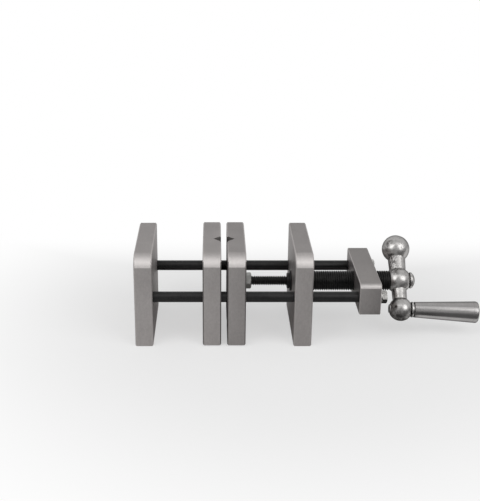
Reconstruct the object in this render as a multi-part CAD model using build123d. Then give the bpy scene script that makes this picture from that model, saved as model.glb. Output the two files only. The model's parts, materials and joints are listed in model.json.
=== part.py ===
from build123d import *
import math
import os

# A small self-centring vise for holding a blank upright while a hole is bored down it.
# Two end plates stand on the bench and are screwed to it from below. Two jaws meet
# between them. A crank turns a hollow lead screw, which moves both jaws by the same way.
#
# Frame: X runs along the screw, from the left end plate to the crank. Y runs to the back.
# Z is up. The origin lies on the bench, halfway between the end plates, at mid-depth.

# End plates, jaws and yoke block are all cut from bar of one width
plate_depth = 91.0
plate_thick = 16.0
plate_high = 85.0
corner_round = 9.2
edge_bevel = 1.0
frame_inside = 125.0

# Jaws. They meet at the jaw line, clear of the bench and a little proud of the plates
jaw_thick = 16.4
jaw_lift = 0.9
jaw_proud = 0.6
jaw_line_x = 0.7
jaw_gap = 5.4
vee_deep = 7.0
vee_angle = 90.0

# Guide rods, level with the screw, each as far in from an edge of the plates
axis_high = 44.7
rod_inset = 7.65
rod_dia = 9.5
rod_tip_bevel = 0.8
stud_dia = 6.0

# Yoke block, moved along by the outer thread of the lead screw
block_from_plate = 41.0
block_thick = 19.0
block_wall_above = 5.8
block_wall_below = 4.65
block_round = 4.0
block_bevel = 0.6
nut_across = 10.0
nut_high = 4.7
nut_washer_dia = 12.0
nut_washer_thick = 1.2

# Lead screw. Its inner thread takes the push rod, its outer thread drives the yoke block
thread_pitch = 2.0
screw_dia = 18.0
journal_dia = 12.0
collar_wall = 1.15
collar_thick = 2.3
collar_bevel = 0.5
thrust_washer_wall = 3.5
thrust_washer_thick = 1.4
stop_spare = 0.9
bore_end_spare = 2.0
screw_past_block = 14.6
stub_dia = 10.0
stub_flat_deep = 1.0

# Push rod and its lock nut, fixed in the right jaw
push_rod_dia = 8.7
push_rod_in_screw = 15.7
push_rod_floor = 1.5
lock_nut_across = 13.0
lock_nut_high = 6.0

# Three-ball crank. Its arm leans back by crank_turn from upright
crank_turn = 45.0
hub_ball_dia = 23.5
hub_face_dia = 21.0
hub_left_flat = 8.0
hub_right_flat = 10.2
big_ball_dia = 25.4
big_ball_reach = 31.8
small_ball_dia = 21.5
small_ball_reach = 28.2
arm_dia_big_end = 16.6
arm_dia_small_end = 12.4
cast_blend = 0.8
crank_washer_dia = 14.8
crank_washer_thick = 1.7
crank_screw_dia = 6.0
crank_screw_long = 14.0
tapping_spare = 1.0
screw_head_dia = 14.0
screw_head_high = 3.1
screw_head_rim = 0.4
socket_across = 4.0
socket_deep = 1.6

# Grip that turns on a spindle through the small ball
grip_droop = 2.6
spindle_dia = 8.0
spindle_end_sunk = 0.15
spindle_end_bevel = 0.4
ball_face_deep = 1.85
ring_off_ball = 0.55
ring_dia = 14.1
ring_thick = 1.8
ring_bevel = 0.3
grip_off_ring = 0.4
grip_long = 58.3
grip_small_dia = 14.1
grip_large_dia = 19.8
grip_end_round = 2.4
grip_neck_dia = 11.0
grip_neck_long = 0.6
spindle_head_dia = 12.5
spindle_head_high = 3.5
spindle_head_sunk = 1.5
driver_slot_wide = 1.6
driver_slot_deep = 1.2

# Tapped holes in the undersides of the end plates
foot_hole_dia = 5.0
foot_hole_deep = 20.0
foot_hole_spacing = 50.0

# Clearances. A running fit turns or slides, a seat is fixed
running = 0.05
seat = 0.02
face_gap = 0.3

# How far a cutter runs past a face that it breaks through
overcut = 1.0

# Positions that follow from the sizes above, along the screw from left to right
plate_inner_x = frame_inside / 2
plate_outer_x = plate_inner_x + plate_thick
left_jaw_face_x = jaw_line_x - jaw_gap / 2
right_jaw_face_x = jaw_line_x + jaw_gap / 2
right_jaw_back_x = right_jaw_face_x + jaw_thick
lock_nut_end_x = right_jaw_back_x + lock_nut_high
push_rod_start_x = right_jaw_face_x + vee_deep + push_rod_floor
thrust_washer_x = plate_inner_x - face_gap - thrust_washer_thick
collar_x = thrust_washer_x - collar_thick
push_rod_tip_x = collar_x + push_rod_in_screw
screw_shoulder_x = plate_outer_x + face_gap
block_left_x = plate_outer_x + block_from_plate
block_right_x = block_left_x + block_thick
nuts_start_x = block_right_x + nut_washer_thick
nuts_end_x = nuts_start_x + nut_high
thread_end_x = block_right_x + screw_past_block
crank_x = thread_end_x + hub_left_flat
hub_right_x = crank_x + hub_right_flat
stub_end_x = hub_right_x - face_gap

# The jaws open until the lock nut nears the collar, and the bore leaves room for that
jaw_stroke = collar_x - lock_nut_end_x - stop_spare
screw_bore_end_x = push_rod_tip_x + jaw_stroke + bore_end_spare

# Heights and depths
rod_back_y = plate_depth / 2 - rod_inset
rod_ys = (-rod_back_y, rod_back_y)
jaw_high = plate_high + jaw_proud - jaw_lift
block_low_z = axis_high - screw_dia / 2 - block_wall_below
block_high = screw_dia + block_wall_below + block_wall_above
thread_depth = 0.6134 * thread_pitch

# Along the spindle, from the centre of the small ball
turn = math.radians(crank_turn)
small_ball_y = -small_ball_reach * math.sin(turn)
small_ball_z = axis_high - small_ball_reach * math.cos(turn)
ball_face = small_ball_dia / 2 - ball_face_deep
ring_start = ball_face + ring_off_ball
grip_start = ring_start + ring_thick + grip_off_ring
grip_end = grip_start + grip_long
head_end = grip_end - spindle_head_sunk
head_start = head_end - spindle_head_high

on_end = (Align.CENTER, Align.CENTER, Align.MIN)


def bar_x(radius, x_from, x_to, y=0.0, z=axis_high):
    """Round bar lying along X, on the screw's axis unless it is placed elsewhere."""
    bar = Cylinder(radius, x_to - x_from, align=on_end)
    return Pos(x_from, y, z) * Rot(0, 90, 0) * bar


def bar_at_origin(radius, start, end):
    """Round bar along X through the origin, for pieces that are placed afterwards."""
    return bar_x(radius, start, end, 0, 0)


def plate(x_left, thick, z_low, high, corner, bevel):
    """Upright slab whose front top corner is rounded and whose broad faces are bevelled."""
    outline = Pos(0, z_low + high / 2) * Rectangle(plate_depth, high)
    front_top = outline.vertices().sort_by(Axis.Y)[-2:].sort_by(Axis.X)[0]
    outline = fillet(front_top, corner)
    slab = extrude(Plane.YZ * outline, thick)
    by_x = slab.faces().sort_by(Axis.X)
    slab = chamfer(by_x[0].edges() + by_x[-1].edges(), bevel)
    return Pos(x_left, 0, 0) * slab


def rod_bores(x_from, x_to, radius):
    """Pair of holes through a slab, one for each guide rod."""
    bores = [bar_x(radius, x_from - overcut, x_to + overcut, y) for y in rod_ys]
    return bores[0] + bores[1]


def foot_holes(x_centre):
    """Pair of tapped holes that come up from the bench."""
    hole = Cylinder(foot_hole_dia / 2, foot_hole_deep, align=on_end)
    ys = (-foot_hole_spacing / 2, foot_hole_spacing / 2)
    return Pos(x_centre, ys[0], 0) * hole + Pos(x_centre, ys[1], 0) * hole


def vee(face_x, into):
    """Upright V groove, cut from a jaw face in the direction into (+1 or -1)."""
    slope = math.tan(math.radians(vee_angle / 2))
    half_mouth = (vee_deep + overcut) * slope
    mouth_x = face_x - into * overcut
    apex_x = face_x + into * vee_deep
    wedge = make_face(Polyline((apex_x, 0), (mouth_x, half_mouth), (mouth_x, -half_mouth), close=True))
    return extrude(wedge, jaw_lift + jaw_high + overcut, dir=(0, 0, 1))


def hexagon(x_left, across, high, bore_radius, y=0.0):
    """Hexagon nut with two flats level and the corners of its right end chamfered."""
    corner_radius = across / 2 / math.cos(math.radians(30))
    prism = extrude(RegularPolygon(corner_radius, 6, rotation=30), high)
    slope = corner_radius - across / 2
    cone_high = high + slope
    cone = Cone(corner_radius + cone_high, corner_radius - slope, cone_high, align=on_end)
    blank = prism & (Pos(0, 0, high - cone_high) * cone)
    bore = Pos(0, 0, -overcut) * Cylinder(bore_radius, high + 2 * overcut, align=on_end)
    return Pos(x_left, y, axis_high) * Rot(0, 90, 0) * (blank - bore)


def washer(x_left, thick, outer_radius, hole_radius, y=0.0):
    disc = bar_x(outer_radius, x_left, x_left + thick, y)
    return disc - bar_x(hole_radius, x_left - overcut, x_left + thick + overcut, y)


def end_plate(x_left):
    x_right = x_left + plate_thick
    slab = plate(x_left, plate_thick, 0, plate_high, corner_round, edge_bevel)
    slab -= rod_bores(x_left, x_right, rod_dia / 2 + running)
    return slab - foot_holes((x_left + x_right) / 2)


def left_end_plate():
    return end_plate(-plate_outer_x)


def right_end_plate():
    """Like the left one, with a plain bearing bored for the lead screw's journal."""
    bearing = bar_x(journal_dia / 2 + running, plate_inner_x - overcut, plate_outer_x + overcut)
    return end_plate(plate_inner_x) - bearing


def left_jaw():
    """Pressed on the guide rods, so it moves with them and the yoke block."""
    x_left = left_jaw_face_x - jaw_thick
    slab = plate(x_left, jaw_thick, jaw_lift, jaw_high, corner_round, edge_bevel)
    slab -= rod_bores(x_left, left_jaw_face_x, rod_dia / 2 + seat)
    return slab - vee(left_jaw_face_x, -1)


def right_jaw():
    """Slides on the guide rods. A blind hole in its back takes the push rod."""
    slab = plate(right_jaw_face_x, jaw_thick, jaw_lift, jaw_high, corner_round, edge_bevel)
    slab -= rod_bores(right_jaw_face_x, right_jaw_back_x, rod_dia / 2 + running)
    slab -= bar_x(push_rod_dia / 2 + seat, push_rod_start_x, right_jaw_back_x + overcut)
    return slab - vee(right_jaw_face_x, 1)


def yoke_block():
    slab = plate(block_left_x, block_thick, block_low_z, block_high, block_round, block_bevel)
    slab -= bar_x(screw_dia / 2 + running, block_left_x - overcut, block_right_x + overcut)
    return slab - rod_bores(block_left_x, block_right_x, stud_dia / 2 + seat)


def guide_rod(y):
    """Smooth rod with a thinner threaded end that passes through the yoke block."""
    rod = bar_x(rod_dia / 2, -plate_outer_x, block_left_x, y)
    rod = chamfer(rod.edges().sort_by(Axis.X)[0], rod_tip_bevel)
    return rod + bar_x(stud_dia / 2, block_left_x, nuts_end_x - seat, y)


def front_guide_rod():
    return guide_rod(rod_ys[0])


def rear_guide_rod():
    return guide_rod(rod_ys[1])


def rod_washers():
    hole = stud_dia / 2 + seat
    return Compound(children=[
        washer(block_right_x, nut_washer_thick, nut_washer_dia / 2, hole, y) for y in rod_ys
    ])


def rod_nuts():
    hole = stud_dia / 2 + seat
    return Compound(children=[hexagon(nuts_start_x, nut_across, nut_high, hole, y) for y in rod_ys])


def push_rod():
    """Left-hand threaded rod, bevelled at both ends down to the root of its thread."""
    rod = bar_x(push_rod_dia / 2, push_rod_start_x + seat, push_rod_tip_x)
    return chamfer(rod.edges().filter_by(GeomType.CIRCLE), thread_depth)


def push_rod_lock_nut():
    return hexagon(right_jaw_back_x, lock_nut_across, lock_nut_high, push_rod_dia / 2 + seat)


def driving_flat(clearance):
    """What the flat takes away from the underside of a round stub."""
    low = axis_high - stub_dia / 2 + stub_flat_deep - clearance
    block = Box(hub_right_x - thread_end_x + overcut, stub_dia, stub_dia,
                align=(Align.MIN, Align.CENTER, Align.MAX))
    return Pos(thread_end_x, 0, low) * block


def lead_screw():
    """Journal in the right end plate, long outer thread, and a stub for the crank."""
    journal = bar_x(journal_dia / 2, collar_x, screw_shoulder_x)
    body = bar_x(screw_dia / 2, screw_shoulder_x, thread_end_x)
    body = chamfer(body.edges().filter_by(GeomType.CIRCLE), thread_depth)
    stub = bar_x(stub_dia / 2, thread_end_x, stub_end_x) - driving_flat(0)
    screw = journal + body + stub
    screw -= bar_x(push_rod_dia / 2 + running, collar_x - overcut, screw_bore_end_x)
    tapped_x = hub_right_x - crank_screw_long - tapping_spare
    return screw - bar_x(crank_screw_dia / 2 + seat, tapped_x, stub_end_x + overcut)


def thrust_washer():
    radius = journal_dia / 2
    return washer(thrust_washer_x, thrust_washer_thick, radius + thrust_washer_wall, radius + seat)


def retaining_collar():
    radius = journal_dia / 2
    ring = washer(collar_x, collar_thick, radius + collar_wall, radius + seat)
    outer_edge = ring.edges().filter_by(GeomType.CIRCLE).group_by(Axis.X)[0].sort_by(SortBy.RADIUS)[-1]
    return chamfer(outer_edge, collar_bevel)


def on_spindle(solid):
    """Moves a solid made along X at the origin to the small ball, in line with the spindle."""
    return Pos(crank_x, small_ball_y, small_ball_z) * Rot(0, grip_droop, 0) * solid


def crank_arm():
    """Casting with three balls on a tapered arm, faced at the hub and at the spindle."""
    arm_long = big_ball_reach + small_ball_reach
    arm = Cone(arm_dia_small_end / 2, arm_dia_big_end / 2, arm_long, align=on_end)
    casting = Pos(0, 0, -small_ball_reach) * arm + Sphere(hub_ball_dia / 2)
    casting += Pos(0, 0, big_ball_reach) * Sphere(big_ball_dia / 2)
    casting += Pos(0, 0, -small_ball_reach) * Sphere(small_ball_dia / 2)
    casting = fillet(casting.edges().filter_by(GeomType.CIRCLE), cast_blend)
    casting -= bar_at_origin(hub_face_dia / 2, -hub_ball_dia, -hub_left_flat)
    casting -= bar_at_origin(hub_face_dia / 2, hub_right_flat, hub_ball_dia)
    casting = Pos(crank_x, 0, axis_high) * Rot(-crank_turn, 0, 0) * casting
    stub_hole = bar_x(stub_dia / 2 + seat, thread_end_x - overcut, hub_right_x + overcut)
    casting -= stub_hole - driving_flat(seat)
    spindle_hole = bar_at_origin(spindle_dia / 2 + seat, -small_ball_dia, small_ball_dia)
    facing = bar_at_origin(small_ball_dia / 2, ball_face, small_ball_dia)
    return casting - on_spindle(spindle_hole) - on_spindle(facing)


def crank_washer():
    return washer(hub_right_x, crank_washer_thick, crank_washer_dia / 2, crank_screw_dia / 2 + seat)


def crank_screw():
    """Low domed screw with a narrow rim and a hexagon socket."""
    head_x = hub_right_x + crank_washer_thick
    head_top_x = head_x + screw_head_high
    radius = screw_head_dia / 2
    rim = (head_x + screw_head_rim, radius)
    dome_high = screw_head_high - screw_head_rim
    dome_radius = (radius ** 2 + dome_high ** 2) / (2 * dome_high)
    outline = Polyline((head_top_x, 0), (head_x, 0), (head_x, radius), rim)
    outline += RadiusArc(rim, (head_top_x, 0), dome_radius)
    head = Pos(0, 0, axis_high) * revolve(Plane.XZ * make_face(outline), Axis.X, 360)
    socket = extrude(RegularPolygon(socket_across / 2, 6, major_radius=False), socket_deep + overcut)
    head -= Pos(head_top_x - socket_deep, 0, axis_high) * Rot(0, 90, 0) * socket
    return head + bar_x(crank_screw_dia / 2, hub_right_x - crank_screw_long, head_x)


def spindle_ring():
    ring = bar_at_origin(ring_dia / 2, ring_start, ring_start + ring_thick)
    ring = chamfer(ring.edges().filter_by(GeomType.CIRCLE), ring_bevel)
    return on_spindle(ring - bar_at_origin(spindle_dia / 2 + seat, 0, grip_start))


def grip_spindle():
    """Long pin screwed through the small ball, with a slotted head inside the grip."""
    pin = bar_at_origin(spindle_dia / 2, spindle_end_sunk - small_ball_dia / 2, head_start)
    pin = chamfer(pin.edges().sort_by(Axis.X)[0], spindle_end_bevel)
    head = bar_at_origin(spindle_head_dia / 2, head_start, head_end)
    slot = Box(driver_slot_deep + overcut, driver_slot_wide, spindle_head_dia + overcut,
               align=(Align.MIN, Align.CENTER, Align.CENTER))
    head -= Pos(head_end - driver_slot_deep, 0, 0) * slot
    return on_spindle(pin + head)


def grip():
    """Tapered sleeve, thicker at its free end, with a recess there for the spindle's head."""
    neck_end = grip_start + grip_neck_long
    outline = Polyline(
        (grip_start, 0), (grip_start, grip_neck_dia / 2), (neck_end, grip_neck_dia / 2),
        (neck_end, grip_small_dia / 2), (grip_end, grip_large_dia / 2), (grip_end, 0), close=True,
    )
    sleeve = revolve(Plane.XZ * make_face(outline), Axis.X, 360)
    sleeve = fillet(sleeve.edges().filter_by(GeomType.CIRCLE).sort_by(Axis.X)[-1], grip_end_round)
    sleeve -= bar_at_origin(spindle_dia / 2 + running, grip_start - overcut, grip_end)
    sleeve -= bar_at_origin(spindle_head_dia / 2 + face_gap, head_start - face_gap, grip_end + overcut)
    return on_spindle(sleeve)


pieces = (
    left_end_plate, right_end_plate,
    left_jaw, front_guide_rod, rear_guide_rod, yoke_block, rod_washers, rod_nuts,
    right_jaw, push_rod, push_rod_lock_nut,
    lead_screw, thrust_washer, retaining_collar,
    crank_arm, crank_washer, crank_screw, spindle_ring, grip_spindle, grip,
)

os.makedirs("parts", exist_ok=True)
for piece in pieces:
    export_step(piece(), f"parts/{piece.__name__}.step")
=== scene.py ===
import bmesh
import bpy
import json
import math
from mathutils import Matrix, Vector, noise


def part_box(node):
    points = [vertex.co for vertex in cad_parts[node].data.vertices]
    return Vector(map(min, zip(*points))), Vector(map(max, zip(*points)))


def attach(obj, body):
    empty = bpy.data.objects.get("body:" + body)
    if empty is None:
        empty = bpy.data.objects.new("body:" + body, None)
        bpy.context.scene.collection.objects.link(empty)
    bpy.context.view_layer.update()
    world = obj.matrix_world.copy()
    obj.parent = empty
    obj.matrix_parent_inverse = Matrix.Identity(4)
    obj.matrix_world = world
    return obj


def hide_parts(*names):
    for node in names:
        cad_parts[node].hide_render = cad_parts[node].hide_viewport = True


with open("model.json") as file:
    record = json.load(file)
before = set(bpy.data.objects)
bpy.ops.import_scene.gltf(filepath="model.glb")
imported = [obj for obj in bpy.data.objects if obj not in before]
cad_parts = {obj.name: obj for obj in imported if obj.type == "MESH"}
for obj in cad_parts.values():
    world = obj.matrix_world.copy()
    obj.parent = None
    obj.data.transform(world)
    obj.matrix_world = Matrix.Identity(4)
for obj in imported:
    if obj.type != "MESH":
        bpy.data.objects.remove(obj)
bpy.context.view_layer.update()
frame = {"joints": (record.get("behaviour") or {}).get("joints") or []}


# The camera stands before the vise and a little to its left, looks straight to the back and
# down on it, and is shifted sideways so that the crank comes into the picture.
mm = 0.001
scene = bpy.context.scene
scene.view_settings.view_transform = "Standard"
picture_high_px = 501
picture_wide_px = 480
lens_px = 993.24
optical_axis_px = 213.48
sensor_high_mm = 36.0
camera_place = Vector((-8.85, -844.55, 395.3)) * mm
camera_pitch = math.radians(20.82)
camera_data = bpy.data.cameras.new("camera")
camera_data.sensor_width = sensor_high_mm
camera_data.lens = lens_px / picture_high_px * sensor_high_mm
camera_data.shift_x = (picture_wide_px / 2 - optical_axis_px) / picture_high_px
camera = bpy.data.objects.new("camera", camera_data)
camera.location = camera_place
camera.rotation_euler = (math.radians(90) - camera_pitch, 0, 0)
scene.collection.objects.link(camera)
scene.camera = camera


# The end plates are two upright slabs of ground steel bar. The rims of their broad faces are
# bevelled, the front top corner is rounded, and they are bored for the guide rods and tapped
# from below for the screws that hold them down.
class Wire:
    """An output in a node tree. Arithmetic on it adds Math nodes."""

    def __init__(self, tree, socket=None):
        self.tree = tree
        self.socket = socket

    def add(self, kind, inputs, output=0, **settings):
        """Adds a node of that kind, sets it up, and gives its chosen output."""
        node = self.tree.nodes.new(kind)
        for name, value in settings.items():
            setattr(node, name, value)
        for name, value in inputs.items():
            if isinstance(value, Wire):
                self.tree.links.new(value.socket, node.inputs[name])
            else:
                node.inputs[name].default_value = value
        return Wire(self.tree, node.outputs[output] if node.outputs else None)

    def maths(self, operation, left, right=0.0):
        return self.add("ShaderNodeMath", {0: left, 1: right}, operation=operation)

    def __add__(self, other):
        return self.maths("ADD", self, other)

    def __sub__(self, other):
        return self.maths("SUBTRACT", self, other)

    def __mul__(self, other):
        return self.maths("MULTIPLY", self, other)

    def __truediv__(self, other):
        return self.maths("DIVIDE", self, other)

    def __rsub__(self, other):
        return self.maths("SUBTRACT", other, self)

    def __gt__(self, other):
        return self.maths("GREATER_THAN", self, other)

    __radd__ = __add__
    __rmul__ = __mul__

    def least(self, other):
        return self.maths("MINIMUM", self, other)

    def most(self, other):
        return self.maths("MAXIMUM", self, other)

    def mix(self, low, high):
        """Colour between low and high, with this output as the factor."""
        inputs = {"Factor": self, 6: (*low, 1), 7: (*high, 1)}
        return self.add("ShaderNodeMix", inputs, output=2, data_type="RGBA")

    def coordinate(self, axis, kind="Object"):
        """Where a point lies along that axis, in the object's own metres."""
        place = self.add("ShaderNodeTexCoord", {}, output=kind)
        return self.add("ShaderNodeSeparateXYZ", {"Vector": place}, output=axis)

    def of_place(self, operation, point):
        """Vector Math on the object's own coordinates, such as their DISTANCE from a point."""
        place = self.add("ShaderNodeTexCoord", {}, output="Object")
        return self.add("ShaderNodeVectorMath", {0: place, 1: point}, output="Value", operation=operation)

    def noise(self, sizes, detail=2.0, roughness=0.5):
        """Noise on the object's own coordinates. Its features have these sizes along X, Y, Z, in mm."""
        place = self.add("ShaderNodeTexCoord", {}, output="Object")
        scale = tuple(1 / (size * mm) for size in sizes)
        place = self.add("ShaderNodeMapping", {"Vector": place, "Scale": scale})
        inputs = {"Vector": place, "Scale": 1.0, "Detail": detail, "Roughness": roughness}
        return self.add("ShaderNodeTexNoise", inputs)

    def spread(self, start, end, low=0.0, high=1.0, smooth=False):
        """This output carried from start..end over to low..high, and held at both ends."""
        inputs = {"Value": self, "From Min": start, "From Max": end, "To Min": low, "To Max": high}
        curve = "SMOOTHSTEP" if smooth else "LINEAR"
        return self.add("ShaderNodeMapRange", inputs, interpolation_type=curve)

    def bump(self, height, depth, strength):
        """Normal of a relief whose full height stands for that depth in mm."""
        inputs = {"Height": height, "Distance": depth * mm, "Strength": strength}
        return self.add("ShaderNodeBump", inputs)


def new_finish(name):
    """An empty material and a Wire on its tree."""
    finish = bpy.data.materials.new(name)
    finish.use_nodes = True
    finish.node_tree.nodes.clear()
    return finish, Wire(finish.node_tree)


def surface(tree, colour, metallic, roughness, normal, rim_shine=1.0):
    """Ends a material's tree with the surface that these wires describe.

    Rim shine is the gloss at a glancing angle, where 1 is a perfect mirror's.
    """
    shader = tree.add("ShaderNodeBsdfPrincipled", {
        "Base Color": colour, "Metallic": metallic, "Roughness": roughness, "Normal": normal,
        "Specular Tint": (rim_shine, rim_shine, rim_shine, 1),
    })
    tree.add("ShaderNodeOutputMaterial", {"Surface": shader})


def ground_finish(name, dark, light, roughness, heights=None):
    """Ground bar: fine upright grain, a faint mottle and clouds, and a slight scatter in the gloss.

    A milled round turns from dark to light between the two heights given, in mm: a painted highlight,
    lightest low on the round.
    """
    finish, tree = new_finish(name)
    grain = tree.noise((0.35, 0.35, 9), 3.0, 0.6)
    clouds = tree.noise((14, 14, 26), 2.0)
    speckle = tree.noise((0.5, 0.5, 0.5), 1.0)
    mottle = tree.noise((1.5, 1.5, 2.2), 2.0, 0.6)
    tone = grain * 0.35 + clouds * 0.25 + mottle * 0.4
    share = tone.spread(0.34, 0.66)
    if heights:
        dark_height, light_height = heights
        round_share = tree.coordinate("Z").spread(dark_height * mm, light_height * mm)
        share = share * 0.2 + round_share * 0.8
    colour = share.mix(dark, light)
    normal = tree.bump(grain * 0.7 + speckle * 0.3, 0.03, 0.35)
    scattered = roughness + clouds * 0.08 + grain * 0.08
    surface(tree, colour, 1.0, scattered, normal, rim_shine=0.55)
    return finish


ground_steel = ground_finish("ground_steel", (0.444, 0.42, 0.412), (0.55, 0.522, 0.512), 0.36)
# The bevels are lighter than the faces: bright cut metal, and a painted highlight
cut_bevel_and_painted_highlight = ground_finish("cut_bevel_and_painted_highlight", (0.54, 0.513, 0.504), (0.64, 0.609, 0.598), 0.42)
# The V groove's finish is darkened: painted shade in the groove
milled_groove_painted_shade = ground_finish("milled_groove_painted_shade", (0.19, 0.18, 0.176), (0.27, 0.256, 0.251), 0.45)
milled_end = ground_finish("milled_end", (0.36, 0.342, 0.336), (0.43, 0.409, 0.402), 0.5)
# Painted highlight on the rounded corner: the dark colour at its top, the light one lower down
round_dark, round_light = (0.37, 0.352, 0.346), (0.77, 0.738, 0.726)
milled_round_painted_highlight = ground_finish("milled_round_painted_highlight", round_dark, round_light, 0.58, heights=(85.6, 79.5))
# Painted shade: darker copies of the upright and end finishes, for pieces that stand further right
ground_steel_painted_shade = ground_finish("ground_steel_painted_shade", (0.392, 0.37, 0.363), (0.485, 0.46, 0.452), 0.36)
milled_end_painted_shade = ground_finish("milled_end_painted_shade", (0.328, 0.311, 0.306), (0.391, 0.372, 0.366), 0.5)
plate_finishes = {
    "left_end_plate": (ground_steel, cut_bevel_and_painted_highlight, milled_end, milled_round_painted_highlight),
    "right_end_plate": (ground_steel, cut_bevel_and_painted_highlight, milled_end_painted_shade, milled_round_painted_highlight),
    "left_jaw": (ground_steel, cut_bevel_and_painted_highlight, milled_end, milled_round_painted_highlight, milled_groove_painted_shade),
    "right_jaw": (ground_steel_painted_shade, cut_bevel_and_painted_highlight, milled_end_painted_shade, milled_round_painted_highlight, milled_groove_painted_shade),
}

# The groove is a jaw's fifth finish
groove_index = 4


def plain_mesh(obj):
    """The object's mesh with its modifiers carried out and taken off."""
    mesh = bpy.data.meshes.new_from_object(obj.evaluated_get(bpy.context.evaluated_depsgraph_get()))
    obj.modifiers.clear()
    obj.data = mesh
    return mesh


def new_piece(name, mesh, *finishes):
    """An object with that mesh and no finishes but these."""
    piece = bpy.data.objects.new(name, mesh)
    scene.collection.objects.link(piece)
    # Clearing sets every face back to the first finish, so an empty list is left alone
    if mesh.materials:
        mesh.materials.clear()
    for finish in finishes:
        mesh.materials.append(finish)
    return piece


def turned(outline, sides=96, closed=False, easing=4):
    """Mesh turned about the X axis. The outline is a list of (x, radius, corner rounding) in mm.

    A closed outline goes round a hole, an open one starts and ends on the axis.
    """
    points = []
    count = len(outline)
    for index, (x, radius, *rounding) in enumerate(outline):
        corner = Vector((x, radius))
        if not rounding or (not closed and index in (0, count - 1)):
            points.append(corner)
            continue
        before = Vector(outline[index - 1][:2]) - corner
        after = Vector(outline[(index + 1) % count][:2]) - corner
        reach = rounding[0] / math.tan(before.angle(after) / 2)
        start = corner + before.normalized() * reach
        end = corner + after.normalized() * reach
        for step in range(easing + 1):
            share = step / easing
            pull = 2 * share * (1 - share)
            points.append(start * (1 - share) ** 2 + corner * pull + end * share ** 2)
    vertices, rings = [], []
    for point in points:
        on_axis = point.y < 1e-6
        ring = []
        for side in range(1 if on_axis else sides):
            angle = 2 * math.pi * side / sides
            ring.append(len(vertices))
            vertices.append(Vector((point.x, point.y * math.cos(angle), point.y * math.sin(angle))) * mm)
        rings.append(ring if not on_axis else ring * sides)
    faces = []
    for low, high in zip(rings, rings[1:] + rings[:1] if closed else rings[1:]):
        for side in range(sides):
            onward = (side + 1) % sides
            face = tuple(dict.fromkeys((low[side], high[side], high[onward], low[onward])))
            if len(face) > 2:
                faces.append(face)
    mesh = bpy.data.meshes.new("turned")
    mesh.from_pydata([tuple(vertex) for vertex in vertices], [], faces)
    tidy_normals(mesh)
    return mesh


def tidy_normals(mesh):
    """Merges doubles and turns every face outwards."""
    work = bmesh.new()
    work.from_mesh(mesh)
    bmesh.ops.remove_doubles(work, verts=work.verts, dist=1e-7)
    bmesh.ops.recalc_face_normals(work, faces=work.faces)
    work.to_mesh(mesh)
    work.free()


def boolean(piece, tools, operation="DIFFERENCE"):
    """Cuts the piece with each tool mesh in turn, or keeps what they share.

    The tools' own faces take the piece's first finish.
    """
    finishes = list(piece.data.materials)
    for tool_mesh in tools:
        tool = new_piece("tool", tool_mesh)
        step = piece.modifiers.new("cut", "BOOLEAN")
        step.operation = operation
        step.solver = "MANIFOLD"
        step.object = tool
        plain_mesh(piece)
        bpy.data.objects.remove(tool)
    indices = [face.material_index for face in piece.data.polygons]
    piece.data.materials.clear()
    for finish in finishes:
        piece.data.materials.append(finish)
    for face, index in zip(piece.data.polygons, indices):
        face.material_index = index if index < len(finishes) else 0


def ease_edges(piece, width, steps=2, angle=28.0):
    """Takes the sharpness off every edge steeper than the angle. The width is in mm."""
    step = piece.modifiers.new("ease", "BEVEL")
    step.width = width * mm
    step.segments = steps
    step.limit_method = "ANGLE"
    step.angle_limit = math.radians(angle)
    plain_mesh(piece)


def settle(piece, body, slot, *nodes, smooth_below=32.0):
    """Cleans and shades the piece, lets it ride on its body and stand for its solids."""
    work = bmesh.new()
    work.from_mesh(piece.data)
    bmesh.ops.dissolve_degenerate(work, edges=work.edges, dist=1e-6)
    work.to_mesh(piece.data)
    work.free()
    piece.data.shade_smooth()
    piece.data.set_sharp_from_angle(angle=math.radians(smooth_below))
    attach(piece, body)
    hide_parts(*nodes)


def slab(node, corner, bevel, finishes):
    """Upright slab in the node's place, with its front top corner rounded and edges bevelled.

    The round is an arc that leaves the top smoothly and meets the front in a slight crease.
    The first four finishes are for the upright faces, the bevels, the level ends and the round.
    """
    low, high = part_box(node)
    steps = 20
    crease = math.radians(8)
    quarter = math.radians(90)
    radius = corner / (1 - math.sin(crease))
    outline = [(low[1], low[2]), (high[1], low[2]), (high[1], high[2])]
    for step in range(steps + 1):
        angle = quarter - (quarter - crease) * step / steps
        y = low[1] + radius * (math.cos(crease) - math.cos(angle))
        z = high[2] - radius * (1 - math.sin(angle))
        outline.append((y, z))
    name = f"{node}_finished"
    mesh = bpy.data.meshes.new(name)
    work = bmesh.new()
    face = work.faces.new([work.verts.new((low[0], y, z)) for y, z in outline])
    grown = bmesh.ops.extrude_face_region(work, geom=[face])["geom"]
    far_corners = [item for item in grown if isinstance(item, bmesh.types.BMVert)]
    bmesh.ops.translate(work, verts=far_corners, vec=(high[0] - low[0], 0, 0))
    bmesh.ops.recalc_face_normals(work, faces=work.faces)
    work.normal_update()
    for face in work.faces:
        upright = abs(face.normal.y) > 0.9999 or abs(face.normal.x) > 0.5
        level = abs(face.normal.z) > 0.9999
        face.material_index = 0 if upright else 2 if level else 3
    rims = [edge for edge in work.edges if abs(edge.verts[0].co.x - edge.verts[1].co.x) < 1e-7]
    bmesh.ops.bevel(work, geom=rims, offset=bevel, segments=1, affect="EDGES", material=1)
    work.to_mesh(mesh)
    work.free()
    return new_piece(name, mesh, *finishes)


def moved(mesh, x=0.0, y=0.0, z=0.0):
    """The mesh shifted by metres."""
    mesh.transform(Matrix.Translation((x, y, z)))
    return mesh


# How far a cutter reaches past the face that it enters, in mm
cutter_past = 2.0


def drill(length, radius, countersink=0.4):
    """Cutter for a through hole along X, which also eases both mouths. Sizes in mm."""
    mouth = radius + countersink
    start, end = -cutter_past, length + cutter_past
    return turned([
        (start, 0), (start, mouth + cutter_past), (0, mouth), (countersink, radius),
        (length - countersink, radius), (length, mouth), (end, mouth + cutter_past), (end, 0),
    ], sides=64)


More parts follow.
